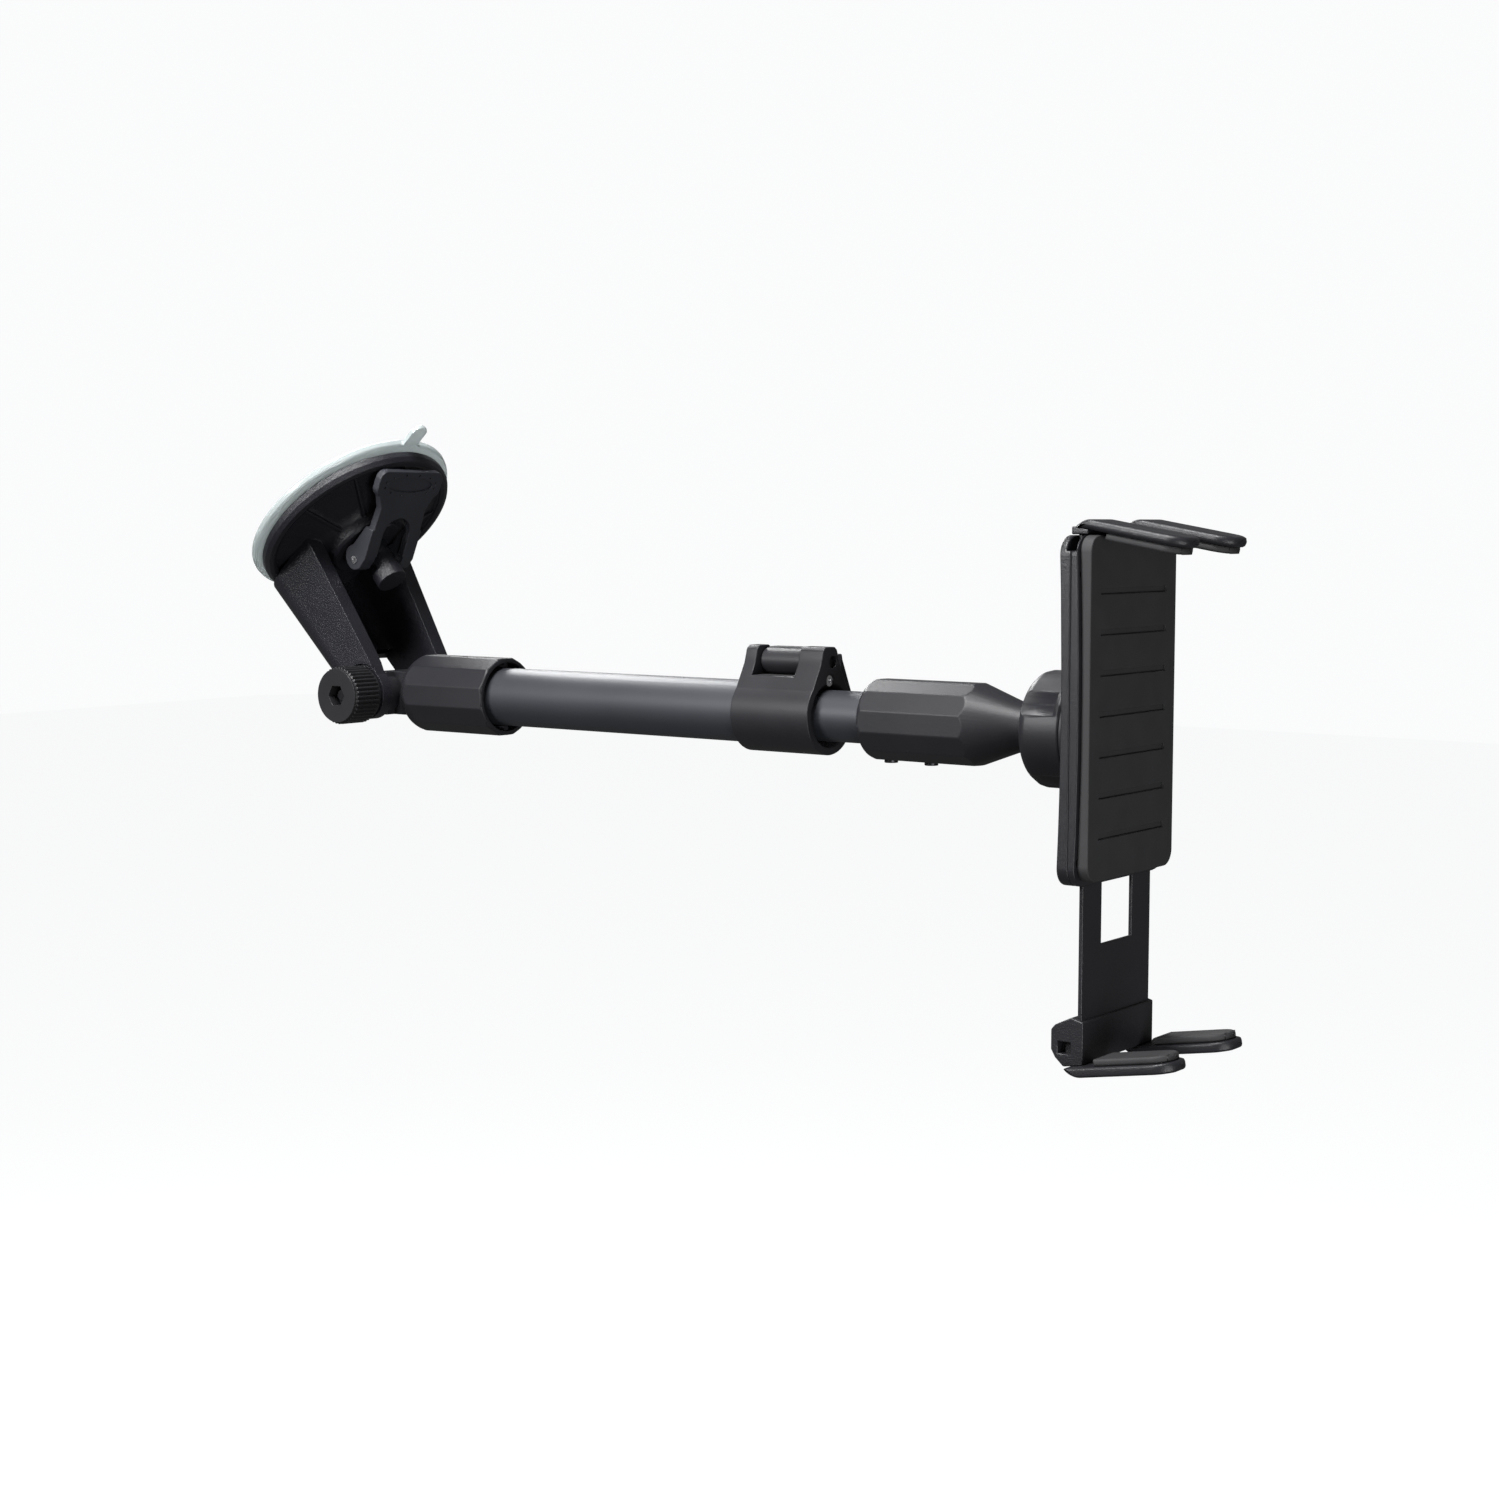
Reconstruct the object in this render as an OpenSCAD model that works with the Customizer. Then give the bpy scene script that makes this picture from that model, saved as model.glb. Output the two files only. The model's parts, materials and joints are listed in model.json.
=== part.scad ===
// Car phone mount: suction cup for the windshield, pivoting telescopic arm,
// ball joint with ring nut, and a spring-loaded four-finger phone holder.
// Millimetres. Origin at the centre of the suction face, +Z up, +Y away from the
// driver (towards the glass), +X to the driver's right. The arm runs along -Y.

/* [Suction cup] */
// Angle of the suction face's normal above the horizontal
cup_tilt = 49; // [40:1:60]
// Radius of the soft suction membrane
membrane_r = 41; // [40:0.5:44]
// Radius of the hard cover behind the membrane
cover_r = 38.5; // [37:0.5:39.5]
// Radius of the central stem that pulls the membrane
stem_r = 5.3; // [5:0.1:5.6]
// Width of the lever's grip
grip_w = 32; // [28:1:36]
// Lift of the stem when the lever is opened
stem_lift = 2; // [1.5:0.1:2.2]

/* [Yoke and pivot] */
// Distance of the pivot bolt below the cup's axis, along the glass
pivot_y = 23.2; // [21:0.2:25]
// Distance of the pivot bolt from the suction face
pivot_z = 68.5; // [66:0.5:72]
// Radius of the rounded end of each yoke arm
yoke_end_r = 9.5; // [9:0.1:10]
// Radius of the pivot bolt
bolt_r = 2; // [1.8:0.1:2.5]
// Radius of the tightening knob
knob_r = 10.5; // [10:0.5:12]
// Length of the tightening knob
knob_len = 13; // [11:0.5:15]
// Number of grip ribs on the knob
knob_ribs = 40; // [24:2:48]

/* [Arm] */
// Radius of the twelve-sided socket barrel, across its corners
socket_r = 14.45; // [14:0.05:14.5]
// Outer radius of the fixed tube
outer_tube_r = 10.4; // [10.2:0.1:10.5]
// Outer radius of the sliding tube
inner_tube_r = 8.4; // [8.2:0.1:8.5]
// Outer radius of the clamp collar
collar_r = 13; // [12.6:0.1:13.4]
// Length of the clamp collar
collar_len = 31.5; // [30:0.5:33]
// Distance from the pivot to the clamp collar
collar_from = 165.3; // [150:0.5:175]
// Radius of the twelve-sided adapter, across its corners
adapter_r = 13.3; // [12.8:0.1:13.5]
// Gap between the clamp collar and the adapter
free_tube = 18; // [12:1:30]

/* [Ball joint] */
// Radius of the ball
ball_r = 10.5; // [10.2:0.1:10.6]
// Radius of the neck behind the ball
neck_r = 6.2; // [5.6:0.1:6.4]
// Outer radius of the ring nut
nut_r = 18; // [17.5:0.1:19]

/* [Holder] */
// Width of the holder's body
body_w = 56; // [54:1:58]
// Gap between the gripping faces of the upper and lower fingers
grip_gap = 150.6; // [145:0.2:155]
// Spacing of the upper fingers, centre to centre
upper_pitch = 30.4; // [28:0.4:34]
// Spacing of the lower fingers, centre to centre
lower_pitch = 37; // [34:0.5:40]
// Inward slope of the fingers
finger_slope = 10; // [6:1:12]
// Width of one finger
finger_w = 14; // [12:0.5:15]

/* [Hidden] */

run = 0.05;            // radial clearance of every running fit
fine = 96;             // sides of a large round surface

// cup, in the cup frame: +Z out of the suction face, +Y down along the glass
foot_r = 14;
foot_back = -5.6;
foot_front = -2.9;
skin_t = 0.8;          // soft skin between the foot's pocket and the glass
membrane_t = 3;
hub_r = 15.5;
hub_top = -17.4;
stem_end = -34.4;
pin_y = 0;
pin_z = -23.5;
pin_r = 1.5;
pin_half = 12.9;
lever_rise = 25.6;     // slope of the closed lever towards the glass
lever_open = 80;       // opening angle of the lever
plate_under = 2;       // underside of the lever's plate above its pin
cam_r = -pin_z + hub_top - 0.32;

// yoke and pivot
gap_half = 14.8;       // half of the gap between the yoke arms at the pivot
yoke_half = 19.4;      // half of the yoke's width at the pivot
lug_half = 13.65;
web_end = -44.6;        // lower edge of the web between the yoke's arms
spot_r = 11;           // flat seats for the bolt's head and the knob's washer
washer_r = 7.2;
bolt_head_r = 4.04;
bolt_head_t = 2.8;
knob_from = 21;
nut_af = 7;            // across the flats of the hexagon nut
nut_circle_r = nut_af / 2 / cos(30);

// arm, in the arm frame: +Z from the pivot towards the phone, +Y up
lug_r = 8;
barrel_from = 9;
barrel_to = 53.3;
tube_from = 20;
tube_wall = 1.3;
collar_to = collar_from + collar_len;
tube_to = collar_to - 6.5;
rear_ear = 4.7;
ear_window = 17.3;
window_from = collar_from + rear_ear;
window_to = window_from + ear_window;
clamp_x = 1.5;
clamp_y = 17.4;
clamp_pin_r = 2;
cam_barrel_r = 4.6;
shoe_top = clamp_y - cam_barrel_r - 0.06;
shoe_lift = 0.4;
clamp_open = 110;
adapter_from = collar_to + free_tube;
cone_from = adapter_from + 38.8;
ball_at = adapter_from + 68.5;
neck_from = ball_at - 9.2;
inner_from = 78;
bush_len = 12;

// ball joint, in the ball frame: centre of the ball, +Z towards the phone
liner_gap = 0.06;
liner_r = 12;
pocket_r = liner_r + liner_gap;
nut_back = -6.1;
nut_front = 8.5;
thread_r = 15;
boss_base = 11.6;

// holder, in the phone frame: centre of the phone's glass, +Y away from the driver
glass_from_pivot = 317.3;
glass_above_arm = -18.44;
ball_y = glass_from_pivot - ball_at;
bow_r = 1250;
bow_z = 26;
bow_rear = 18.6;
bow_front = 12.6;
seam_y = 15.7;
cavity_half = 1.55;
body_low = -25.5;
body_high = 77.5;
side_high = 73;
arm_half = 21;
channel_half = 9.4;
leg_t = 1.4;
lower_leg_y = seam_y - 1.5;
upper_leg_y = seam_y + 0.1;
spring_r = 1.35;
spring_x = 5;
pad_front = 9.8;
grip_y = 4.5;
core_t = 3.1;
finger_pad_t = 2.2;
finger_back = 19;
finger_tip = -18.2;
finger_root_z = grip_gap / 2 + (finger_back - grip_y) * tan(finger_slope) + finger_pad_t;
arm_z = 18.44;

// ---- frames ----
module cup_frame() {
  rotate([cup_tilt - 90, 0, 0]) children();
}
module arm_frame() {
  cup_frame() translate([0, pivot_y, -pivot_z])
    rotate([90 - cup_tilt, 0, 0]) rotate([90, 0, 0]) children();
}
module ball_frame() {
  arm_frame() translate([0, 0, ball_at]) children();
}
module phone_frame() {
  arm_frame() rotate([-90, 0, 0])
    translate([0, -glass_from_pivot, glass_above_arm]) children();
}
module lever_frame() {
  cup_frame() translate([0, pin_y, pin_z]) rotate([180 - lever_rise, 0, 0]) children();
}
module along_x(length, r, sides = 64) {
  rotate([0, 90, 0]) cylinder(r = r, h = length, center = true, $fn = sides);
}

// ---- suction cup ----
module suction_membrane() {
  color([0.80, 0.84, 0.86, 0.6]) cup_frame() {
    rotate_extrude($fn = fine)
      polygon([[foot_r + 0.1, -membrane_t - 2], [foot_r + 0.1, -skin_t], [0, -skin_t],
        [0, 0], [membrane_r - 0.5, 0], [membrane_r, -0.6],
        [membrane_r - 0.3, -2.2], [membrane_r - 1.2, -membrane_t],
        [foot_r + 4, -membrane_t], [foot_r + 2, -membrane_t - 2]]);
    pull_tab();
  }
}
module pull_tab() {
  translate([1, -membrane_r + 1.4, -2.4]) linear_extrude(height = 1.6)
    union() {
      translate([-3.5, -6.5]) square([7, 6.5]);
      translate([0, -6.5]) circle(r = 3.5, $fn = 40);
    }
}
module cup_stem() {
  color([0.16, 0.16, 0.18]) cup_frame() difference() {
    union() {
      translate([0, 0, foot_back]) cylinder(r = foot_r, h = foot_front - foot_back, $fn = fine);
      translate([0, 0, stem_end + 5]) cylinder(r = stem_r, h = foot_back - stem_end - 4.9, $fn = 64);
      translate([0, 0, stem_end]) cylinder(r = stem_r + 0.4, h = 5.2, $fn = 64);
    }
    translate([0, pin_y, pin_z]) along_x(30, pin_r);
  }
}
module lever_pin() {
  color([0.80, 0.80, 0.82]) cup_frame() translate([0, pin_y, pin_z]) along_x(2 * pin_half, pin_r);
}
// The cam's radius falls steadily with the opening angle, so the stem drops as it opens.
function cam_point(a) = let (
    fall = max(0, min(1, a / lever_open)) * stem_lift,
    r = cam_r - fall,
    at = 270 + lever_rise - a)
  [r * cos(at), r * sin(at)];
module cam_outline() {
  // a is the opening angle at which each point faces the hub
  polygon([for (a = [-60:6:lever_open + 90]) cam_point(a)]);
}
module lever_leg(side) {
  translate([side * 9.85, 0, 0]) rotate([90, 0, 90]) linear_extrude(height = 5.5, center = true)
    union() {
      cam_outline();
      circle(r = 3.9, $fn = 48);
      polygon([[-1, -3.2], [3, -3.8], [14, 0.9], [14, 5], [2, 5], [-2.5, 3.4]]);
    }
}
module cup_lever() {
  color([0.25, 0.26, 0.30]) lever_frame() difference() {
    union() {
      lever_leg(-1);
      lever_leg(1);
      translate([0, 0, plate_under]) linear_extrude(height = 5 - plate_under) difference() {
        union() {
          polygon([[-12.6, 3], [12.6, 3], [11.2, 27], [-11.2, 27]]);
          polygon([[-11.2, 22], [11.2, 22], [grip_w / 2 - 2, 27.5], [2 - grip_w / 2, 27.5]]);
          grip_outline();
        }
        lever_arch();
      }
    }
    along_x(40, pin_r + run);
    translate([0, 32, 4.3]) linear_extrude(height = 2) scale_oval(11.2, 2.7);
    for (i = [0:11]) translate([13 * cos(15 + i * 30), 32 + 4.1 * sin(15 + i * 30), 4.5])
      cylinder(r = 0.45, h = 1, $fn = 16);
  }
}
module scale_oval(a, b) {
  polygon([for (t = [0:10:350]) [a * cos(t), b * sin(t)]]);
}
module grip_outline() {
  corner = 3.5;
  half = grip_w / 2;
  union() {
    translate([-half, 27 + corner]) square([grip_w, 10.4 - 2 * corner]);
    translate([corner - half, 27]) square([grip_w - 2 * corner, 10.4]);
    for (x = [corner - half, half - corner], y = [27 + corner, 37.4 - corner])
      translate([x, y]) circle(r = corner, $fn = 32);
  }
}
module lever_arch() {
  translate([-6.6, -8]) square([13.2, 20]);
  translate([0, 12]) circle(r = 6.6, $fn = 64);
}

// ---- base housing: cover, hub and yoke in one moulding ----
module cover_profile() {
  polygon([[cover_r - 1.6, -membrane_t - 0.02], [cover_r, -4.2], [cover_r, -6.4],
    [cover_r - 1, -8.1], [cover_r - 2.6, -8.6], [cover_r - 4, -8], [cover_r - 4.6, -6.6],
    [hub_r + 4, -10.5], [hub_r + 0.6, -12.6], [hub_r, -16.6], [hub_r - 0.8, hub_top],
    [stem_r + run, hub_top], [stem_r + run, -10.6], [foot_r + 3.6, -8.4],
    [cover_r - 5, -4.4], [cover_r - 5, -membrane_t - 0.02]]);
}
module yoke_slab(half, y0, y1, corner) {
  linear_extrude(height = 0.5) union() {
    translate([-half, y0]) square([2 * half, y1 - y0 - corner]);
    translate([corner - half, y0]) square([2 * (half - corner), y1 - y0]);
    for (s = [-1, 1]) translate([s * (half - corner), y1 - corner]) circle(r = corner, $fn = 32);
  }
}
module yoke_outer() {
  hull() {
    translate([0, 0, -8.6]) yoke_slab(24.3, 4, 36.4, 11);
    translate([0, 0, -pivot_z - 10]) yoke_slab(yoke_half, 11, 33.5, 9);
  }
}
module yoke_inner() {
  hull() {
    translate([0, 0, -9]) yoke_slab(17.6, -1, 32.6, 6);
    translate([0, 0, -pivot_z - 0.5]) yoke_slab(gap_half - 0.6, -1, 30, 5);
  }
}
module yoke_side() {
  rotate([90, 0, 90]) linear_extrude(height = 60, center = true) union() {
    polygon([[4.4, -8.4], [pivot_y - yoke_end_r - 1, -pivot_z + 6],
      [pivot_y - yoke_end_r + 0.4, -pivot_z + 1.6], [pivot_y + yoke_end_r, -pivot_z],
      [36.4, -8.4]]);
    translate([pivot_y, -pivot_z]) circle(r = yoke_end_r, $fn = 64);
  }
}
module cover_rib(angle) {
  rotate([0, 0, angle]) translate([hub_r, -0.5, 0]) rotate([90, 0, 0]) translate([0, 0, -1])
    linear_extrude(height = 1)
      polygon([[0, -11], [0, -13.4], [cover_r - hub_r - 4.4, -7.6], [cover_r - hub_r - 4.4, -5.6]]);
}
module base_housing() {
  color([0.19, 0.19, 0.22]) cup_frame() difference() {
    union() {
      rotate_extrude($fn = fine) cover_profile();
      for (i = [-2:2]) cover_rib(-90 + 37.5 * i);
      translate([0, -11, hub_top - 1.6]) cylinder(r = 3.6, h = 4, $fn = 8);
      difference() {
        intersection() {
          yoke_outer();
          yoke_side();
        }
        yoke_inner();
        translate([-gap_half, -1, -pivot_z - 12]) cube([2 * gap_half, 40, web_end + pivot_z + 12]);
        translate([0, 0, -9.5]) cylinder(r = hub_r + 2.6, h = 6, $fn = 64);
      }
    }
    translate([0, 0, -20]) cylinder(r = stem_r + run, h = 14, $fn = 64);
    translate([0, pivot_y, -pivot_z]) along_x(60, bolt_r);
    for (s = [-1, 1]) translate([s * (yoke_half + 5), pivot_y, -pivot_z]) along_x(10, spot_r);
  }
}

// ---- pivot hardware ----
module pivot_bolt() {
  color([0.70, 0.71, 0.73]) arm_frame() {
    translate([(yoke_half - knob_from - knob_len + 2.5) / 2, 0, 0])
      along_x(yoke_half + knob_from + knob_len - 2.5, bolt_r);
    translate([yoke_half + bolt_head_t / 2, 0, 0]) along_x(bolt_head_t, bolt_head_r, 6);
  }
}
module pivot_washers() {
  color([0.85, 0.85, 0.83]) arm_frame() for (s = [-1, 1])
    translate([s * (gap_half + lug_half) / 2, 0, 0]) difference() {
      along_x(gap_half - lug_half - 0.1, washer_r);
      along_x(5, bolt_r + 0.02);
    }
}
module knob_washer() {
  color([0.12, 0.12, 0.13]) arm_frame()
    translate([-(yoke_half + knob_from) / 2, 0, 0]) difference() {
      along_x(knob_from - yoke_half - 0.1, 8.6);
      along_x(5, bolt_r + 0.02);
    }
}
module knob() {
  tooth = 360 / knob_ribs;
  color([0.16, 0.16, 0.18]) arm_frame() translate([-knob_from, 0, 0]) rotate([0, -90, 0]) difference() {
    union() {
      cylinder(r = knob_r - 0.7, h = knob_len, $fn = fine);
      translate([0, 0, 1.2]) linear_extrude(height = knob_len - 2.4)
        polygon([for (i = [0:knob_ribs - 1], p = [[-0.5, -0.7], [-0.25, 0], [0.1, 0], [0.35, -0.7]])
          [(knob_r + p[1]) * cos((i + p[0]) * tooth), (knob_r + p[1]) * sin((i + p[0]) * tooth)]]);
    }
    translate([0, 0, -1]) cylinder(r = bolt_r + run, h = knob_len + 2, $fn = 48);
    translate([0, 0, knob_len - 7.4]) cylinder(r = nut_circle_r, h = 8, $fn = 6);
  }
}
module knob_nut() {
  color([0.62, 0.63, 0.65]) arm_frame() translate([-knob_from, 0, 0]) rotate([0, -90, 0])
    translate([0, 0, knob_len - 7.4]) difference() {
      cylinder(r = nut_circle_r - 0.02, h = 3.2, $fn = 6);
      translate([0, 0, -1]) cylinder(r = bolt_r + run, h = 6, $fn = 48);
    }
}

// ---- telescopic arm ----
module socket_profile() {
  // rounded rear end, straight barrel and a rolled front rim
  round_r = 7.5;
  polygon(concat(
    [[0, barrel_from]],
    [for (t = [0:10:90]) [socket_r - round_r + round_r * sin(t), barrel_from + round_r - round_r * cos(t)]],
    [[socket_r + 0.3, barrel_from + round_r + 0.5], [socket_r + 0.3, barrel_to - 1.1],
      [socket_r - 0.8, barrel_to], [0, barrel_to]]));
}
module arm_socket() {
  color([0.17, 0.17, 0.19]) arm_frame() difference() {
    union() {
      intersection() {
        rotate([0, 0, 15]) translate([0, 0, barrel_from]) cylinder(r = socket_r, h = barrel_to, $fn = 12);
        rotate_extrude($fn = fine) socket_profile();
      }
      along_x(2 * lug_half, lug_r);
      translate([-lug_half, -lug_r, 0]) cube([2 * lug_half, 2 * lug_r, 5]);
      translate([-9.6, -lug_r, 4]) cube([19.2, 2 * lug_r, 8]);
    }
    along_x(60, bolt_r + run);
    translate([0, 0, tube_from]) cylinder(r = outer_tube_r, h = 60, $fn = fine);
    difference() {
      translate([0, 0, barrel_to - 5]) cylinder(r = outer_tube_r + 1.9, h = 10, $fn = fine);
      for (s = [-1, 1]) translate([0, s * (outer_tube_r + 1.1), barrel_to - 6])
        cylinder(r = 1.1, h = 5.2, $fn = 32);
    }
    translate([0, 0, 32]) rotate([90, 0, 0]) cylinder(r = 1.25, h = 60, center = true, $fn = 32);
  }
}
module socket_pin() {
  color([0.62, 0.63, 0.65]) arm_frame() translate([0, 0, 32]) rotate([90, 0, 0])
    cylinder(r = 1.25, h = 2 * socket_r - 2.2, center = true, $fn = 32);
}
module outer_tube() {
  color([0.22, 0.23, 0.26]) arm_frame() difference() {
    translate([0, 0, tube_from]) cylinder(r = outer_tube_r, h = tube_to - tube_from, $fn = fine);
    translate([0, 0, tube_from - 1]) cylinder(r = outer_tube_r - tube_wall, h = tube_to, $fn = fine);
    translate([0, 0, 32]) rotate([90, 0, 0]) cylinder(r = 1.25, h = 60, center = true, $fn = 32);
    shoe_slot();
  }
}
module shoe_slot() {
  translate([-5.3, 0, window_from]) cube([10.6, 20, ear_window]);
}
module ear_outline() {
  // straight flanks from the flat-topped ears down to the round collar
  polygon([[-2.6, 22.4], [2.6, 22.4], [3.9, 21.3], [4.5, 19.2], [5.3, 16.6], [8.3, 11.1],
    [10.3, 7.4], [10.3, 2], [-10.3, 2], [-10.3, 7.4], [-8.3, 11.1], [-5.3, 16.6],
    [-4.5, 19.2], [-3.9, 21.3]]);
}
module clamp_collar() {
  color([0.15, 0.15, 0.17]) arm_frame() difference() {
    union() {
      translate([0, 0, collar_from]) cylinder(r = collar_r, h = collar_len, $fn = fine);
      translate([0, 0, collar_from]) linear_extrude(height = collar_len) ear_outline();
    }
    translate([0, 0, collar_from - 1]) cylinder(r = outer_tube_r, h = tube_to - collar_from + 1, $fn = fine);
    translate([0, 0, collar_from]) cylinder(r = inner_tube_r + run, h = collar_len + 1, $fn = fine);
    translate([0, 0, collar_to - 3]) cylinder(r1 = inner_tube_r + run, r2 = 10.6, h = 3.01, $fn = 64);
    shoe_slot();
    translate([-20, shoe_top, window_from]) cube([40, 20, ear_window]);
    translate([clamp_x, clamp_y, collar_from - 1]) cylinder(r = clamp_pin_r, h = collar_len + 2, $fn = 48);
    translate([0, 11.4, tube_to + 0.4]) cylinder(r = 1.25, h = 30, $fn = 32);
    translate([0, 11.4, collar_to - 1.8]) cylinder(r = 1.9, h = 3, $fn = 32);
  }
}
module clamp_pin() {
  color([0.62, 0.63, 0.65]) arm_frame() translate([clamp_x, clamp_y, collar_from + 0.6])
    cylinder(r = clamp_pin_r, h = collar_len - 1.8, $fn = 48);
}
module clamp_screw() {
  color([0.80, 0.80, 0.82]) arm_frame() difference() {
    union() {
      translate([0, 11.4, tube_to + 0.4]) cylinder(r = 1.25, h = collar_to - tube_to - 1, $fn = 32);
      translate([0, 11.4, collar_to - 1.8]) cylinder(r = 1.9, h = 1.4, $fn = 32);
    }
    translate([0, 11.4, collar_to - 1]) cylinder(r = 0.9, h = 2, $fn = 6);
  }
}
module brake_shoe() {
  color([0.30, 0.30, 0.32]) arm_frame() difference() {
    translate([-5, inner_tube_r - 3, window_from + 0.3])
      cube([10, shoe_top - inner_tube_r + 3, ear_window - 0.6]);
    translate([0, 0, window_from - 1]) cylinder(r = inner_tube_r + 0.08, h = ear_window + 2, $fn = fine);
  }
}
// The clamp's cam also falls steadily with the opening angle.
module clamp_cam() {
  polygon([for (a = [-150:6:204]) let (
      fall = max(0, min(1, a / clamp_open)) * shoe_lift,
      r = a > 0 ? cam_barrel_r - 0.06 - fall : cam_barrel_r)
    [r * cos(-90 - a), r * sin(-90 - a)]]);
}
module clamp_lever() {
  neck = [[0, -4.2], [4.6, -3.4], [8.5, -5.5], [9.2, -2.6], [7.8, 1.2], [6.9, 3.4], [5.4, 4.5],
    [0, 4.5]];
  handle = [[7.1, 2.4], [7.1, -2.4], [11.4, -12.8], [11.9, -15.4], [12, -18], [11.4, -23],
    [13.6, -24.6], [14.9, -19], [14.9, -15.4], [14, -11.6], [8.4, 0.4], [7.9, 2.4]];
  color([0.17, 0.17, 0.19]) arm_frame() translate([clamp_x, clamp_y, 0]) difference() {
    union() {
      translate([0, 0, window_from + 0.3]) linear_extrude(height = ear_window - 0.6) union() {
        clamp_cam();
        polygon(neck);
      }
      translate([0, 0, collar_from + 2]) linear_extrude(height = collar_len - 4) polygon(handle);
    }
    translate([0, 0, collar_from - 1]) cylinder(r = clamp_pin_r + run, h = collar_len + 2, $fn = 48);
  }
}
module tube_end_bush() {
  color([0.85, 0.85, 0.82]) arm_frame() difference() {
    translate([0, 0, inner_from - 3]) cylinder(r = outer_tube_r - tube_wall - run, h = bush_len, $fn = fine);
    translate([0, 0, inner_from - 4]) cylinder(r = inner_tube_r - 2.4, h = bush_len + 2, $fn = fine);
    translate([0, 0, inner_from]) cylinder(r = inner_tube_r - 1.2 + run, h = bush_len, $fn = fine);
  }
}
module inner_tube() {
  color([0.22, 0.23, 0.26]) arm_frame() difference() {
    union() {
      translate([0, 0, inner_from + bush_len - 3 + 0.2])
        cylinder(r = inner_tube_r, h = adapter_from + 25 - inner_from - bush_len + 2.8, $fn = fine);
      translate([0, 0, inner_from + 0.2]) cylinder(r = inner_tube_r - 1.2, h = bush_len, $fn = fine);
    }
    translate([0, 0, inner_from - 1]) cylinder(r = inner_tube_r - 2.4, h = 400, $fn = fine);
    adapter_screw_holes(1.25);
  }
}
module adapter_screw_holes(r) {
  for (z = [6, 21.3]) translate([0, 0, adapter_from + z]) rotate([90, 0, 0])
    cylinder(r = r, h = adapter_r + 1, $fn = 32);
}
module adapter_cone() {
  rotate_extrude($fn = fine) polygon([[0, adapter_from], [adapter_r - 2.2, adapter_from],
    [adapter_r - 0.7, adapter_from + 0.8], [adapter_r + 0.3, adapter_from + 3.1],
    [adapter_r + 0.3, cone_from - 0.5], [8.35, cone_from + 14], [neck_r, neck_from],
    [neck_r, neck_from + 5], [0, neck_from + 5]]);
}
module ball_adapter() {
  color([0.15, 0.15, 0.17]) arm_frame() difference() {
    union() {
      intersection() {
        rotate([0, 0, 15]) translate([0, 0, adapter_from]) cylinder(r = adapter_r, h = 70, $fn = 12);
        adapter_cone();
      }
      translate([0, 0, ball_at]) sphere(r = ball_r, $fn = fine);
    }
    translate([0, 0, adapter_from - 1]) cylinder(r = inner_tube_r, h = 26, $fn = fine);
    adapter_screw_holes(1.25);
    for (z = [6, 21.3]) translate([0, -adapter_r + 0.9, adapter_from + z]) rotate([90, 0, 0])
      cylinder(r = 2.2, h = 3, $fn = 32);
  }
}
module adapter_screws() {
  color([0.10, 0.10, 0.11]) arm_frame() for (z = [6, 21.3]) translate([0, 0, adapter_from + z])
    rotate([90, 0, 0]) difference() {
      union() {
        translate([0, 0, inner_tube_r - 3]) cylinder(r = 1.25, h = adapter_r - inner_tube_r + 2.2, $fn = 32);
        translate([0, 0, adapter_r - 0.9]) cylinder(r = 2.2, h = 1.5, $fn = 32);
      }
      translate([0, 0, adapter_r - 0.2]) cylinder(r = 1, h = 2, $fn = 6);
    }
}

// ---- ball joint ----
module liner(from, to) {
  // a zone of a spherical shell between two angles measured from +Z
  step = (to - from) / 12;
  inner = ball_r + liner_gap;
  rotate_extrude($fn = fine) polygon(concat(
    [for (i = [0:12]) let (a = from + i * step) [inner * sin(a), inner * cos(a)]],
    [for (i = [12:-1:0]) let (a = from + i * step) [liner_r * sin(a), liner_r * cos(a)]]));
}
module rear_ball_liner() {
  color([0.75, 0.75, 0.72]) ball_frame() liner(94, 124);
}
module front_ball_liner() {
  color([0.75, 0.75, 0.72]) ball_frame() difference() {
    sphere(r = liner_r, $fn = fine);
    sphere(r = ball_r + liner_gap, $fn = fine);
    translate([0, 0, -20 + liner_r * cos(72)]) cube([40, 40, 40], center = true);
  }
}
module nut_lobe_cut(angle) {
  rotate([0, 0, angle]) translate([nut_r + 7.6, 0, nut_back - 1]) cylinder(r = 9, h = nut_front - nut_back - 0.9, $fn = 64);
}
module ring_nut() {
  color([0.17, 0.17, 0.19]) ball_frame() difference() {
    rotate_extrude($fn = fine) polygon([[9, nut_back], [nut_r - 3, nut_back], [nut_r - 1.4, nut_back + 0.6],
      [nut_r - 0.4, nut_back + 1.8], [nut_r, nut_back + 3.4], [nut_r, nut_front - 0.6],
      [nut_r - 0.6, nut_front], [9, nut_front]]);
    sphere(r = pocket_r, $fn = fine);
    translate([0, 0, nut_back - 1]) cylinder(r = 10.6, h = 5, $fn = fine);
    cylinder(r = thread_r + run, h = 20, $fn = fine);
    for (i = [0:3]) nut_lobe_cut(60 + 90 * i);
  }
}
module socket_base() {
  color([0.15, 0.15, 0.17]) ball_frame() difference() {
    union() {
      translate([0, 0, 0.3]) cylinder(r = thread_r, h = boss_base, $fn = fine);
      translate([0, 0, nut_front + 0.3]) cylinder(r = nut_r, h = base_plane() - nut_front - 0.3, $fn = fine);
    }
    sphere(r = pocket_r, $fn = fine);
    base_screw_places() translate([0, 0, -6]) cylinder(r = 1.1, h = 20, $fn = 32);
  }
}
function base_plane() = ball_y - bow_rear;
module base_screw_places() {
  for (a = [90, 210, 330]) rotate([0, 0, a]) translate([13.4, 0, base_plane()]) children();
}
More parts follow.
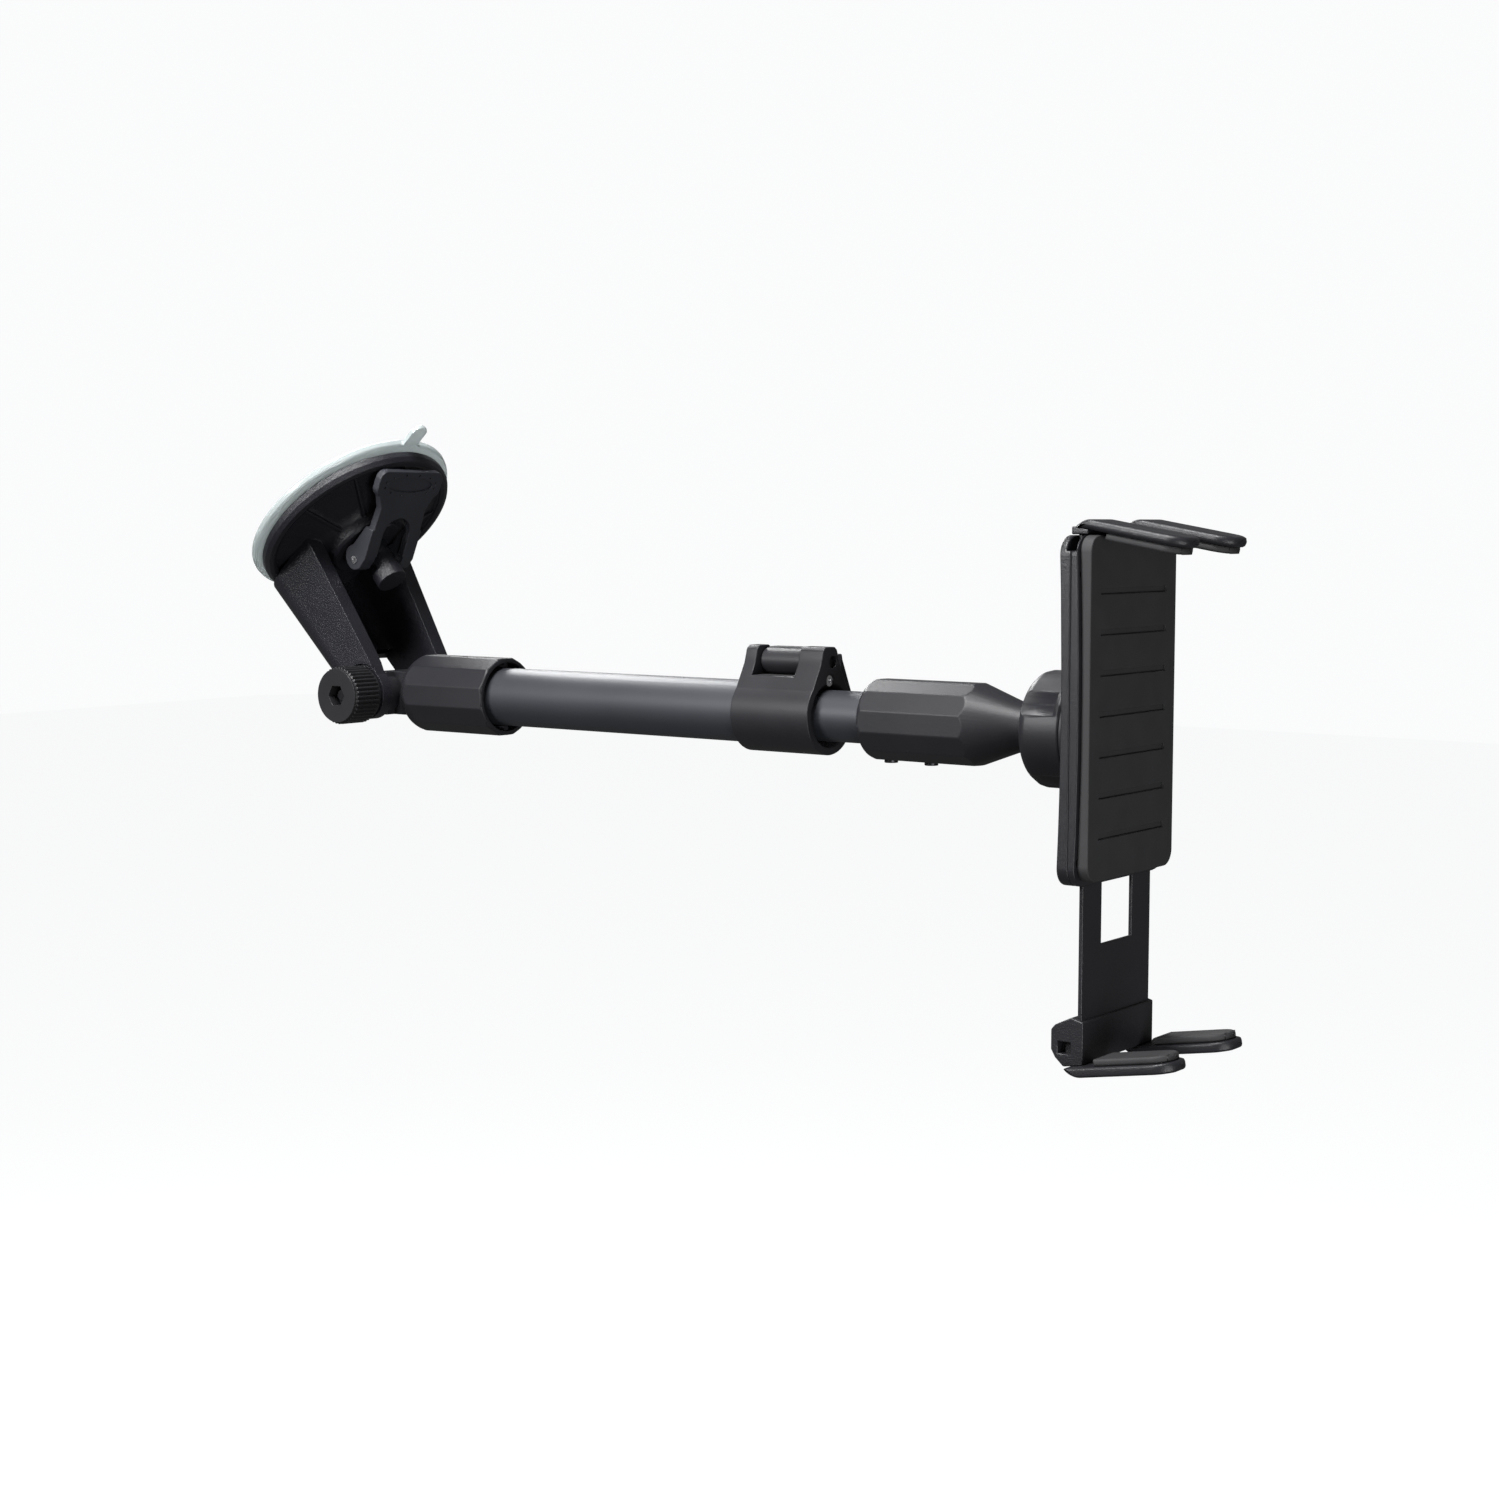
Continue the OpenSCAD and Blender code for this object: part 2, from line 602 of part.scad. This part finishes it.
module base_screws() {
  color([0.62, 0.63, 0.65]) ball_frame() base_screw_places() {
    translate([0, 0, -5]) cylinder(r = 1.1, h = 5.65, $fn = 32);
    translate([0, 0, 0.65]) cylinder(r = 1.9, h = 0.7, $fn = 32);
  }
}

// ---- holder body ----
module rounded_front(half, low, high, corner) {
  // outline in the XZ plane, drawn as X and Y of a flat shape
  union() {
    translate([-half, low + corner]) square([2 * half, high - low - 2 * corner]);
    translate([corner - half, low]) square([2 * (half - corner), high - low]);
    for (x = [corner - half, half - corner], z = [low + corner, high - corner])
      translate([x, z]) circle(r = corner, $fn = 40);
  }
}
module upright(from, to) {
  // stands a flat outline up and gives it depth from y = from to y = to
  translate([0, to, 0]) rotate([90, 0, 0]) linear_extrude(height = to - from) children();
}
function bow(y, z) = y + (z - bow_z) * (z - bow_z) / (2 * bow_r);
module bow_surface(y) {
  // everything behind a gently bowed surface
  step = 12;
  rotate([90, 0, 90]) linear_extrude(height = 200, center = true) polygon(concat(
    [for (i = [-5:5]) let (z = bow_z + i * step) [bow(y, z), z]],
    [[60, bow_z + 5 * step], [60, bow_z - 5 * step]]));
}
module arm_cavity() {
  translate([-arm_half - 0.3, seam_y - cavity_half, -60]) cube([2 * arm_half + 0.6, 2 * cavity_half, 200]);
}
module side_notch() {
  for (s = [-1, 1]) translate([s * body_w / 2 - 9, seam_y - cavity_half, side_high]) cube([18, 2 * cavity_half, 20]);
}
module rear_shell() {
  color([0.16, 0.16, 0.18]) phone_frame() difference() {
    upright(seam_y, 20) rounded_front(body_w / 2, body_low, body_high, 6);
    bow_surface(bow_rear);
    arm_cavity();
    side_notch();
    shell_screw_places() translate([0, 0, -2.4]) cylinder(r = 1.1, h = 6, $fn = 32);
    translate([0, ball_y, arm_z]) rotate([90, 0, 0]) base_screw_places() {
      translate([0, 0, -5]) cylinder(r = 1.1, h = 8, $fn = 32);
      translate([0, 0, 0.65]) cylinder(r = 1.9, h = 3, $fn = 32);
    }
    translate([0, bow_rear, arm_z]) rotate([-90, 0, 0]) cylinder(r = nut_r + 0.3, h = 3, $fn = fine);
  }
}
module front_shell() {
  color([0.16, 0.16, 0.18]) phone_frame() difference() {
    intersection() {
      upright(10, seam_y) rounded_front(body_w / 2, body_low, body_high, 6);
      bow_surface(bow_front);
    }
    arm_cavity();
    side_notch();
    shell_screw_places() cylinder(r = 1.1, h = 12, center = true, $fn = 32);
    shell_screw_places() translate([0, 0, 1.2]) cylinder(r = 1.9, h = 6, $fn = 32);
  }
}
module shell_screw_places() {
  for (x = [-24.6, 24.6], z = [-18, 66]) translate([x, seam_y, z]) rotate([90, 0, 0]) children();
}
module shell_screws() {
  color([0.55, 0.56, 0.58]) phone_frame() shell_screw_places() {
    translate([0, 0, -2.4]) cylinder(r = 1.1, h = 3.6, $fn = 32);
    translate([0, 0, 1.2]) cylinder(r = 1.9, h = 0.9, $fn = 32);
  }
}
module front_pad() {
  color([0.10, 0.10, 0.11]) phone_frame() difference() {
    upright(pad_front, 15) rounded_front(body_w / 2 - 1.6, body_low + 1.6, body_high, 5);
    bow_surface(bow_front);
    for (i = [-3:3]) translate([-20, pad_front - 1, arm_z + 6 + 12 * i]) cube([40, 1.8, 1.6]);
  }
}

// ---- spring-loaded arms ----
module upper_arm() {
  top = body_high + 0.2;
  color([0.15, 0.15, 0.17]) phone_frame() {
    upright(upper_leg_y, upper_leg_y + leg_t) union() {
      for (s = [-1, 1]) translate([s > 0 ? channel_half : -arm_half, 22])
        square([arm_half - channel_half, top - 22]);
      translate([-arm_half, 67]) square([2 * arm_half, top - 67]);
      translate([-channel_half - 1, 22]) square([6, 3.6]);
    }
    crossbar(top, 4);
  }
}
module crossbar(z, height) {
  difference() {
    translate([-arm_half - 1, finger_back - 5.4, z]) cube([2 * arm_half + 2, 5.4, height]);
    translate([0, finger_back, finger_root_z]) rotate([finger_slope, 0, 0])
      translate([-40, -20, 0]) cube([80, 40, 20]);
  }
}
module lower_arm() {
  top = 10;
  end = -grip_gap / 2 + 9;
  color([0.15, 0.15, 0.17]) phone_frame() {
    upright(lower_leg_y, lower_leg_y + leg_t) union() {
      for (s = [-1, 1]) translate([s > 0 ? channel_half : -arm_half, end])
        square([arm_half - channel_half, top - end]);
      translate([-arm_half, end]) square([2 * arm_half, 22]);
      translate([channel_half - 5, top - 3.6]) square([6, 3.6]);
    }
    difference() {
      rotate([90, 0, 90]) linear_extrude(height = 2 * arm_half + 2, center = true)
        polygon([[13.2, end + 0.2], [17.2, end + 1.2], [22.6, end - 1.4], [24, end - 3],
          [24, end - 9], [22.6, end - 11.4], [18.6, end - 15], [13.2, end - 15]]);
      mirror([0, 0, 1]) translate([0, finger_back, finger_root_z]) rotate([finger_slope, 0, 0])
        translate([-40, -20, 0]) cube([80, 40, 20]);
      for (s = [-1, 1]) translate([s * (arm_half + 1) - 3, 17.4, end - 10]) cube([6, 4.2, 3.6]);
    }
  }
}
module coil(x, from, to, turns) {
  steps = 8;
  sides = 6;
  wire = 0.28;
  r = spring_r - wire;
  count = turns * steps;
  polyhedron(
    points = concat(
      [for (i = [0:count], j = [0:sides - 1]) let (
          a = 360 * i / steps, b = 360 * j / sides, rr = r + wire * cos(b))
        [x + rr * cos(a), seam_y + rr * sin(a), from + wire + (to - from - 2 * wire) * i / count + wire * sin(b)]]),
    faces = concat(
      [[for (j = [0:sides - 1]) j]],
      [for (i = [0:count - 1], j = [0:sides - 1]) let (k = (j + 1) % sides)
        [i * sides + j, (i + 1) * sides + j, (i + 1) * sides + k, i * sides + k]],
      [[for (j = [sides - 1:-1:0]) count * sides + j]]));
}
module upper_spring() {
  color([0.70, 0.71, 0.73]) phone_frame() coil(-spring_x, -6, 21.9, 12);
}
module lower_spring() {
  color([0.70, 0.71, 0.73]) phone_frame() coil(spring_x, 10.1, 62, 18);
}

// ---- fingers ----
// A finger's side view: local +X towards the driver, local +Y outward from the grip.
module finger_core_side() {
  length = finger_back - finger_tip;
  union() {
    translate([6.4, 0]) square([length - 6.4 - core_t / 2, core_t]);
    translate([length - core_t / 2, core_t / 2]) circle(r = core_t / 2, $fn = 32);
    difference() {
      translate([6.4, core_t - 6.4]) circle(r = 6.4, $fn = 64);
      translate([-1, -20]) square([20, 20]);
      translate([7, -1]) square([20, 20]);
    }
  }
}
module finger_plan(length, half, tip) {
  // seen from above: straight sides and a round tip
  union() {
    translate([0, -half]) square([length - tip, 2 * half]);
    translate([length - half, 0]) circle(r = half, $fn = 48);
  }
}
module place_finger(x, side) {
  // side is +1 for the upper fingers and -1 for the lower ones
  mirror([0, 0, side > 0 ? 0 : 1])
    translate([x, finger_back, finger_root_z]) rotate([finger_slope, 0, 0]) rotate([90, 0, -90])
      children();
}
module finger_core(x, side) {
  length = finger_back - finger_tip;
  color([0.17, 0.17, 0.19]) phone_frame() place_finger(x, side) intersection() {
    linear_extrude(height = 60, center = true) finger_core_side();
    rotate([90, 0, 0]) linear_extrude(height = 60, center = true) finger_plan(length, finger_w / 2, finger_w / 2);
  }
}
module finger_pad(x, side) {
  length = finger_back - finger_tip - 1.6;
  half = finger_w / 2 - 0.8;
  color([0.10, 0.10, 0.11]) phone_frame() place_finger(x, side) intersection() {
    linear_extrude(height = 60, center = true) union() {
      translate([11, -finger_pad_t]) square([length - 12, finger_pad_t]);
      translate([length - finger_pad_t / 2, -finger_pad_t / 2]) circle(r = finger_pad_t / 2, $fn = 32);
    }
    rotate([90, 0, 0]) linear_extrude(height = 60, center = true) finger_plan(length, half, half);
  }
}

suction_membrane();
cup_stem();
lever_pin();
cup_lever();
base_housing();
pivot_bolt();
pivot_washers();
knob_washer();
knob();
knob_nut();
arm_socket();
socket_pin();
outer_tube();
clamp_collar();
clamp_lever();
clamp_pin();
clamp_screw();
brake_shoe();
tube_end_bush();
inner_tube();
ball_adapter();
adapter_screws();
rear_ball_liner();
front_ball_liner();
ring_nut();
socket_base();
base_screws();
rear_shell();
front_shell();
front_pad();
shell_screws();
upper_arm();
lower_arm();
upper_spring();
lower_spring();
finger_core(-upper_pitch / 2, 1);  // upper_left_finger
finger_core(upper_pitch / 2, 1);  // upper_right_finger
finger_core(-lower_pitch / 2, -1);  // lower_left_finger
finger_core(lower_pitch / 2, -1);  // lower_right_finger
finger_pad(-upper_pitch / 2, 1);  // upper_left_pad
finger_pad(upper_pitch / 2, 1);  // upper_right_pad
finger_pad(-lower_pitch / 2, -1);  // lower_left_pad
finger_pad(lower_pitch / 2, -1);  // lower_right_pad
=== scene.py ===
import json
from math import radians

import bmesh
import bpy
from mathutils import Matrix, Vector
from mathutils.bvhtree import BVHTree


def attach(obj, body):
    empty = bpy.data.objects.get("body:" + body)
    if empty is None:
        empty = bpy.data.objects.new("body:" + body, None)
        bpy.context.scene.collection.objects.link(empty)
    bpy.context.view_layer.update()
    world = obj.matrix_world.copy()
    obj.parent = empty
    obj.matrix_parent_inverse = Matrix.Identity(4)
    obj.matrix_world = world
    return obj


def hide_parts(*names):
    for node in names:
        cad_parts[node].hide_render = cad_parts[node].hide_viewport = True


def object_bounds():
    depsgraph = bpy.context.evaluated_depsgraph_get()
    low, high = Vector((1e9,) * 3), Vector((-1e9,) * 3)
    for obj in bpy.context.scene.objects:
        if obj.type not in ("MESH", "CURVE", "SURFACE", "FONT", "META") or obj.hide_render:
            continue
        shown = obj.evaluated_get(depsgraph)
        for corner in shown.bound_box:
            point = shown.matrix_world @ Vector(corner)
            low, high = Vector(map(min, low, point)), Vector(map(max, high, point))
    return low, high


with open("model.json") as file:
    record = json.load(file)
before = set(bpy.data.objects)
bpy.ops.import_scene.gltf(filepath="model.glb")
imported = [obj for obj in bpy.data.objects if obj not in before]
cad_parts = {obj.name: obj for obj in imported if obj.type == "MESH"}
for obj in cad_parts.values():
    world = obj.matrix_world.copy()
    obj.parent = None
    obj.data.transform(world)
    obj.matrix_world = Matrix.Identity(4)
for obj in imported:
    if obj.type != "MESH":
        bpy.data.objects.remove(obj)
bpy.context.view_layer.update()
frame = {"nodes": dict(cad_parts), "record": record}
scene = bpy.context.scene
MM = 0.001


# ---------- finishes ----------
class Reading:
    """A number read from a finish's nodes, with ordinary arithmetic."""

    def __init__(self, finish, socket):
        self.finish, self.socket = finish, socket

    def _maths(self, operation, a, b):
        return self.finish.node("ShaderNodeMath", {"operation": operation}, {0: a, 1: b})

    def __add__(self, other):
        return self._maths("ADD", self, other)

    def __radd__(self, other):
        return self._maths("ADD", other, self)

    def __sub__(self, other):
        return self._maths("SUBTRACT", self, other)

    def __rsub__(self, other):
        return self._maths("SUBTRACT", other, self)

    def __mul__(self, other):
        return self._maths("MULTIPLY", self, other)

    def __rmul__(self, other):
        return self._maths("MULTIPLY", other, self)


class Finish:
    """One procedural material and the nodes that make it."""

    def __init__(self, name):
        self.material = bpy.data.materials.new(name)
        self.material.use_nodes = True
        self.tree = self.material.node_tree
        self.shader = self.tree.nodes["Principled BSDF"]
        self.place = self.node("ShaderNodeTexCoord", {}, {}, "Object")

    def node(self, kind, settings, inputs, output=0):
        made = self.tree.nodes.new(kind)
        for key, value in settings.items():
            setattr(made, key, value)
        for key, value in inputs.items():
            self.feed(made.inputs[key], value)
        return Reading(self, made.outputs[output])

    def feed(self, socket, value):
        if isinstance(value, Reading):
            self.tree.links.new(value.socket, socket)
        else:
            socket.default_value = value

    def noise(self, scale, detail=3.0, roughness=0.55):
        return self.node(
            "ShaderNodeTexNoise", {},
            {"Vector": self.place, "Scale": scale, "Detail": detail, "Roughness": roughness},
            "Fac")

    def blend(self, amount, low, high):
        return self.node(
            "ShaderNodeMix", {"data_type": "RGBA"}, {0: amount, 6: low, 7: high}, 2)

    def bump(self, height, depth, strength=1.0):
        return self.node(
            "ShaderNodeBump", {}, {"Height": height, "Distance": depth, "Strength": strength},
            "Normal")

    def set(self, **values):
        for key, value in values.items():
            self.feed(self.shader.inputs[key.replace("_", " ")], value)
        return self


def grained_plastic(name, low, high, rough, pitch, depth):
    """Moulded plastic with a spark-eroded grain; pitch is the grain's size in mm."""
    f = Finish(name)
    cells = f.node(
        "ShaderNodeTexVoronoi", {"feature": "SMOOTH_F1"},
        {"Vector": f.place, "Scale": 1000.0 / pitch, "Smoothness": 0.6}, "Distance")
    fine = f.noise(2600.0 / pitch, 2.0)
    patches = f.noise(55.0, 4.0)
    f.set(
        Base_Color=f.blend(patches, low, high),
        Roughness=rough - 0.06 + 0.08 * patches + 0.05 * fine,
        Specular_IOR_Level=0.32,
        Normal=f.bump(cells + 0.5 * fine, depth * MM))
    return f.material


def smooth_plastic(name, low, high, rough):
    """Polished-tool plastic: a faint orange peel and slightly uneven gloss."""
    f = Finish(name)
    peel = f.noise(900.0, 2.0)
    haze = f.noise(40.0, 4.0)
    f.set(
        Base_Color=f.blend(haze, low, high),
        Roughness=rough - 0.05 + 0.10 * haze,
        Specular_IOR_Level=0.28,
        Normal=f.bump(peel, 0.02 * MM))
    return f.material


def tube_coating(name, low, high):
    """Satin anodised tube with faint drawing lines along the arm."""
    f = Finish(name)
    stretched = f.node(
        "ShaderNodeMapping", {}, {"Vector": f.place, "Scale": (1.0, 0.03, 1.0)}, "Vector")
    lines = f.node(
        "ShaderNodeTexNoise", {},
        {"Vector": stretched, "Scale": 2200.0, "Detail": 2.0, "Roughness": 0.5}, "Fac")
    haze = f.noise(30.0, 3.0)
    f.set(
        Base_Color=f.blend(haze, low, high),
        Metallic=0.25,
        Roughness=0.44 + 0.05 * haze + 0.05 * lines,
        Specular_IOR_Level=0.45,
        Normal=f.bump(lines, 0.006 * MM))
    return f.material


def soft_rubber(name):
    """Matt moulded rubber, dusted lighter here and there."""
    f = Finish(name)
    dust = f.noise(120.0, 5.0, 0.65)
    skin = f.noise(3500.0, 2.0)
    f.set(
        Base_Color=f.blend(dust, (0.010, 0.010, 0.011, 1), (0.021, 0.021, 0.023, 1)),
        Roughness=0.66 + 0.12 * dust,
        Normal=f.bump(skin, 0.03 * MM))
    return f.material


def clear_vinyl(name):
    """Clear soft vinyl, a little cloudy, with a glossy skin."""
    f = Finish(name)
    cloud = f.noise(45.0, 3.0)
    ripple = f.noise(160.0, 2.0)
    f.set(
        Base_Color=f.blend(cloud, (0.50, 0.55, 0.55, 1), (0.64, 0.69, 0.69, 1)),
        Roughness=0.08 + 0.08 * cloud,
        Normal=f.bump(ripple, 0.02 * MM),
        IOR=1.46, Transmission_Weight=0.5)
    return f.material


def plated_steel(name, low, high, rough):
    """Plated or blackened steel with fine turning marks."""
    f = Finish(name)
    marks = f.noise(2400.0, 2.0)
    tint = f.noise(300.0, 3.0)
    f.set(
        Base_Color=f.blend(tint, low, high),
        Metallic=1.0,
        Roughness=rough + 0.10 * marks,
        Normal=f.bump(marks, 0.01 * MM))
    return f.material


def nylon(name):
    """Natural nylon, waxy and faintly mottled."""
    f = Finish(name)
    mottle = f.noise(220.0, 4.0)
    f.set(
        Base_Color=f.blend(mottle, (0.60, 0.59, 0.54, 1), (0.72, 0.71, 0.66, 1)),
        Roughness=0.42 + 0.10 * mottle,
        Normal=f.bump(mottle, 0.02 * MM))
    return f.material


cup_grain = grained_plastic(
    "cup_grain", (0.008, 0.008, 0.011, 1), (0.014, 0.014, 0.018, 1), 0.36, 0.45, 0.12)
lever_grain = grained_plastic(
    "lever_grain", (0.020, 0.021, 0.026, 1), (0.030, 0.031, 0.038, 1), 0.40, 0.45, 0.04)
shell_grain = grained_plastic(
    "shell_grain", (0.009, 0.009, 0.011, 1), (0.015, 0.015, 0.018, 1), 0.38, 0.45, 0.05)
knob_black = smooth_plastic(
    "knob_black", (0.010, 0.010, 0.011, 1), (0.017, 0.017, 0.019, 1), 0.42)
barrel_black = smooth_plastic(
    "barrel_black", (0.010, 0.010, 0.012, 1), (0.016, 0.016, 0.019, 1), 0.44)
tube_black = tube_coating("tube_black", (0.024, 0.026, 0.031, 1), (0.034, 0.036, 0.043, 1))
rubber_black = soft_rubber("rubber_black")
vinyl_clear = clear_vinyl("vinyl_clear")
steel_bright = plated_steel("steel_bright", (0.62, 0.62, 0.64, 1), (0.78, 0.78, 0.80, 1), 0.18)
steel_dark = plated_steel("steel_dark", (0.035, 0.035, 0.038, 1), (0.06, 0.06, 0.065, 1), 0.36)
nylon_natural = nylon("nylon_natural")

SLOT_FINISH = {
    "membrane": vinyl_clear, "cup_plastic": cup_grain, "lever_plastic": lever_grain,
    "steel": steel_bright, "dark_steel": steel_dark, "nylon": nylon_natural,
    "knob_plastic": knob_black, "gloss_plastic": barrel_black, "tube_metal": tube_black,
    "shell_plastic": shell_grain, "soft_rubber": rubber_black}
NODE_SLOT = {part["node"]: part["material_slot"] for part in frame["record"]["subparts"]}
NODE_BODY = {
    node: body
    for body, nodes in frame["record"]["behaviour"]["bodies"].items() for node in nodes}


# ---------- pieces ----------
# Millimetres: edges shorter than the first, and runs of edges within the second,
# stay sharp, and a rounded piece may stand this far proud of its solid.
SHORTEST_EDGE = 0.25
SMALLEST_FEATURE = 2.5
PROUD_LIMIT = 0.06
# Share of the wanted radius, and whether rounding is held to the shortest edge.
ROUNDING_TRIES = (
    (1.0, False), (0.7, False), (0.5, False), (0.35, False), (0.22, False), (1.0, True))
MERGE_DISTANCE = 2e-6
FLAT_ANGLE = radians(0.6)
CREASE_ANGLE = radians(44)


def finish_piece(name, mesh, node):
    """Puts a finished mesh on the node's body, in the node's place."""
    data = bpy.data.meshes.new(name)
    mesh.to_mesh(data)
    mesh.free()
    data.shade_smooth()
    piece = bpy.data.objects.new(name, data)
    scene.collection.objects.link(piece)
    data.set_sharp_from_angle(angle=CREASE_ANGLE)
    flats = piece.modifiers.new("flats", "WEIGHTED_NORMAL")
    flats.weight = 60
    flats.keep_sharp = True
    data.materials.append(SLOT_FINISH[NODE_SLOT[node]])
    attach(piece, NODE_BODY[node])
    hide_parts(node)
    return piece


def edge_runs(edges):
    """Sharp edges gathered into connected runs."""
    waiting = set(edges)
    while waiting:
        run = [waiting.pop()]
        for edge in run:
            for corner in edge.verts:
                for other in corner.link_edges:
                    if other in waiting:
                        waiting.discard(other)
                        run.append(other)
        yield run


def run_span(run):
    """The longest side of a run's box."""
    points = [corner.co for edge in run for corner in edge.verts]
    return max(
        max(p[i] for p in points) - min(p[i] for p in points) for i in range(3))


def strays(mesh, skin):
    """How far the rounded mesh stands proud of the solid it came from, in mm."""
    worst = 0.0
    for corner in mesh.verts:
        near, normal, _, gap = skin.find_nearest(corner.co)
        if (corner.co - near).dot(normal) > 0:
            worst = max(worst, gap / MM)
    return worst


def rounded(node, radius, segments, sharp, clamp):
    """A merged copy of the node's solid with its longer outside edges rounded."""
    mesh = bmesh.new()
    mesh.from_mesh(frame["nodes"][node].data)
    bmesh.ops.remove_doubles(mesh, verts=mesh.verts, dist=MERGE_DISTANCE)
    bmesh.ops.dissolve_limit(
        mesh, angle_limit=FLAT_ANGLE, verts=mesh.verts, edges=mesh.edges)
    edges = [
        e for e in mesh.edges
        if e.is_manifold and e.is_convex and e.calc_face_angle(0) > radians(sharp)
        and e.calc_length() > SHORTEST_EDGE * MM]
    chosen = [e for run in edge_runs(edges) if run_span(run) > SMALLEST_FEATURE * MM for e in run]
    bmesh.ops.bevel(
        mesh, geom=chosen, offset=radius * MM, offset_type="OFFSET",
        segments=segments, profile=0.5, affect="EDGES", clamp_overlap=clamp, material=-1)
    bmesh.ops.dissolve_degenerate(mesh, dist=1e-6, edges=mesh.edges)
    return mesh


def moulded(node, radius, segments=2, sharp=16):
    """The node's solid with its sharp edges rounded to a radius in mm.

    Pits, pips and the slivers between facets are left as they are. Where rounding
    would throw a spur, a smaller radius is tried, and then one held to the edges.
    """
    skin = bmesh.new()
    skin.from_mesh(frame["nodes"][node].data)
    tree = BVHTree.FromBMesh(skin)
    skin.free()
    for share, clamp in ROUNDING_TRIES:
        mesh = rounded(node, radius * share, segments, sharp, clamp)
        if clamp or strays(mesh, tree) < PROUD_LIMIT:
            break
        mesh.free()
    return finish_piece(node + "_moulded", mesh, node)


EDGE_RADIUS = {
    "base_housing": 0.4, "cup_lever": 0.4, "cup_stem": 0.35, "knob": 0.15,
    "arm_socket": 0.4, "clamp_collar": 0.4, "clamp_lever": 0.4, "ball_adapter": 0.4,
    "ring_nut": 0.6, "socket_base": 0.4, "rear_shell": 0.5, "front_shell": 0.4,
    "front_pad": 0.4, "upper_arm": 0.35, "lower_arm": 0.4,
    "upper_left_finger": 1.1, "upper_right_finger": 1.1,
    "lower_left_finger": 1.1, "lower_right_finger": 1.1,
    "upper_left_pad": 0.7, "upper_right_pad": 0.7,
    "lower_left_pad": 0.7, "lower_right_pad": 0.7,
    "suction_membrane": 0.3, "lever_pin": 0.25, "knob_washer": 0.2, "outer_tube": 0.2,
    "pivot_bolt": 0.2, "adapter_screws": 0.15, "clamp_screw": 0.15, "clamp_pin": 0.2}
for node, radius in EDGE_RADIUS.items():
    moulded(node, radius)
for node, thing in frame["nodes"].items():
    if node not in EDGE_RADIUS:
        thing.data.materials.clear()
        thing.data.materials.append(SLOT_FINISH[NODE_SLOT[node]])


# ---------- studio ----------
# Metres, except for the lens and its sensor, in millimetres.
FLOOR_REACH = 6.0
FLOOR_DROP = 0.45
BACKDROP_RADIUS = 8.0
SOFT_LIGHTS = (
    ("overhead", (-0.45, -0.20, 0.85), 0.40, 22),
    ("side", (-0.95, 0.15, 0.30), 0.30, 11),
    ("low_front", (-0.35, -0.95, -0.30), 0.40, 4),
    ("behind", (0.45, 0.60, 0.60), 0.40, 11))
WORLD_GLOW = 0.12
CAMERA_PLACE = (-0.63797, -0.67693, -0.00505)
CAMERA_RIGHT = (0.6059, -0.7955, 0.0)
CAMERA_FORWARD = (0.7921, 0.6033, -0.0929)
LENS_LENGTH = 57.69
SENSOR_WIDTH = 36.0

low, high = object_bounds()


def stage_piece(name, mesh, shade, rough, glow, unseen_by):
    """A pale, faintly glowing part of the studio, left out of some light paths."""
    data = bpy.data.meshes.new(name)
    mesh.to_mesh(data)
    mesh.free()
    piece = bpy.data.objects.new(name, data)
    scene.collection.objects.link(piece)
    f = Finish(name + "_white")
    f.set(
        Base_Color=(shade, shade, shade, 1), Roughness=rough,
        Emission_Color=(0.96, 0.965, 0.97, 1), Emission_Strength=glow)
    data.materials.append(f.material)
    for kind in unseen_by:
        setattr(piece, "visible_" + kind, False)


def pale_floor():
    """Low enough for the arm to hang straight down above it."""
    mesh = bmesh.new()
    bmesh.ops.create_grid(mesh, x_segments=1, y_segments=1, size=FLOOR_REACH)
    bmesh.ops.translate(mesh, verts=mesh.verts, vec=(0, 0, low[2] - FLOOR_DROP))
    stage_piece("floor", mesh, 0.14, 0.9, 0.95, ("glossy", "diffuse"))


def pale_backdrop():
    mesh = bmesh.new()
    bmesh.ops.create_icosphere(mesh, subdivisions=4, radius=BACKDROP_RADIUS)
    bmesh.ops.reverse_faces(mesh, faces=mesh.faces)
    stage_piece("backdrop", mesh, 0.0, 1.0, 1.0, ("glossy", "diffuse", "shadow"))


def soft_light(name, place, target, size, power):
    lamp = bpy.data.lights.new(name, "AREA")
    lamp.shape = "SQUARE"
    lamp.size = size
    lamp.energy = power
    thing = bpy.data.objects.new(name, lamp)
    thing.location = place
    aim = Vector(target) - Vector(place)
    thing.rotation_euler = aim.to_track_quat("-Z", "Y").to_euler()
    scene.collection.objects.link(thing)


pale_floor()
pale_backdrop()
middle = (Vector(low) + Vector(high)) / 2
for name, place, size, power in SOFT_LIGHTS:
    soft_light(name, place, middle, size, power)
world = bpy.data.worlds.new("studio")
world.use_nodes = True
sky = world.node_tree.nodes["Background"]
sky.inputs[0].default_value = (1, 1, 1, 1)
sky.inputs[1].default_value = WORLD_GLOW
scene.world = world
scene.view_settings.view_transform = "Standard"

right = Vector(CAMERA_RIGHT).normalized()
forward = Vector(CAMERA_FORWARD).normalized()
above = right.cross(forward).normalized()
lens = bpy.data.cameras.new("camera")
lens.sensor_width = SENSOR_WIDTH
lens.lens = LENS_LENGTH
lens.clip_start = 0.01
camera = bpy.data.objects.new("camera", lens)
turn = Matrix((right, above, -forward)).transposed().to_4x4()
camera.matrix_world = Matrix.Translation(CAMERA_PLACE) @ turn
scene.collection.objects.link(camera)
scene.camera = camera
